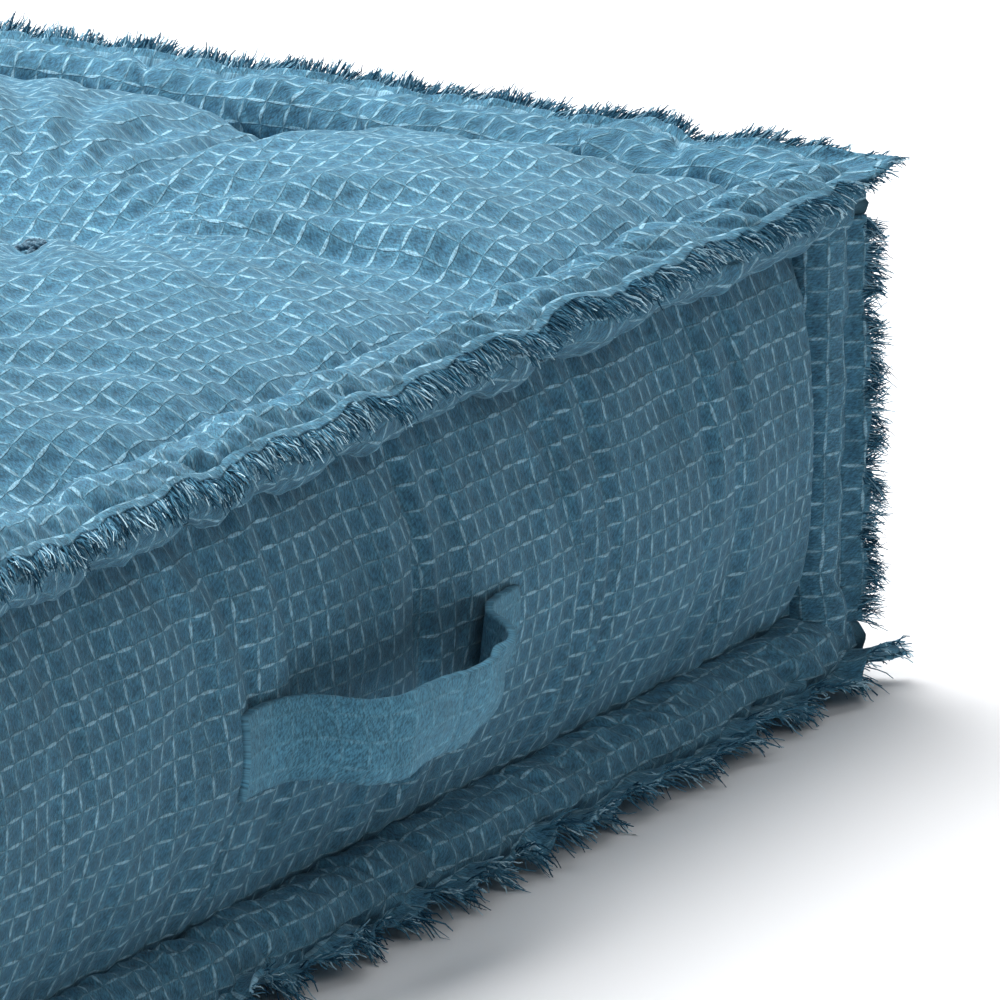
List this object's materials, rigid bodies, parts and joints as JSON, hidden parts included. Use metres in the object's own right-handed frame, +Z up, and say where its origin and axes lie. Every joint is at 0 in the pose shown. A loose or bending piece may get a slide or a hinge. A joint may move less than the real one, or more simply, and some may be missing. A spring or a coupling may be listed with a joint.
{
  "type": "floor cushion",
  "caption": "Square tufted floor cushion in waffle-weave cotton with rolled, frayed edges and a fabric carrying handle on one side.",
  "frame": {"origin": "centre of the flat underside, on the floor", "axes": "+Z up, -Y out of the side with the handle, +X to the right as seen from that side"},
  "size_m": [0.6036, 0.622, 0.174],
  "materials": {
    "cover_cloth": "washed teal-blue waffle-weave cotton, matt",
    "frayed_cloth": "raw cut edge of the same cotton with loose threads",
    "filling": "undyed cotton and polyester fibre",
    "tuft_yarn": "thick dyed cotton yarn, matt"
  },
  "bodies": {
    "cushion": {"top_panel": "cover_cloth", "bottom_panel": "cover_cloth", "front_panel": "cover_cloth", "right_panel": "cover_cloth", "back_panel": "cover_cloth", "left_panel": "cover_cloth", "top_front_roll": "cover_cloth", "top_right_roll": "cover_cloth", "top_back_roll": "cover_cloth", "top_left_roll": "cover_cloth", "bottom_front_roll": "cover_cloth", "bottom_right_roll": "cover_cloth", "bottom_back_roll": "cover_cloth", "bottom_left_roll": "cover_cloth", "front_left_corner_roll": "cover_cloth", "front_right_corner_roll": "cover_cloth", "back_right_corner_roll": "cover_cloth", "back_left_corner_roll": "cover_cloth", "top_front_frayed_edge": "frayed_cloth", "top_right_frayed_edge": "frayed_cloth", "top_back_frayed_edge": "frayed_cloth", "top_left_frayed_edge": "frayed_cloth", "bottom_front_frayed_edge": "frayed_cloth", "bottom_right_frayed_edge": "frayed_cloth", "bottom_back_frayed_edge": "frayed_cloth", "bottom_left_frayed_edge": "frayed_cloth", "front_left_frayed_edge": "frayed_cloth", "front_right_frayed_edge": "frayed_cloth", "back_right_frayed_edge": "frayed_cloth", "back_left_frayed_edge": "frayed_cloth", "top_roll_wadding": "filling", "bottom_roll_wadding": "filling", "corner_roll_wadding": "filling", "filling_core": "filling", "tufting_twine": "tuft_yarn", "top_tuft_knots": "tuft_yarn", "bottom_tuft_knots": "tuft_yarn", "handle_left_end": "cover_cloth", "handle_right_end": "cover_cloth"},
    "handle": {"handle_strap": "cover_cloth"}
  },
  "joints": [
    {"name": "handle_swing", "type": "hinge", "parent": "cushion", "child": "handle", "pos_m": [0, -0.302, 0.072], "axis": [1, 0, 0], "range_deg": [-30, 30]}
  ]
}
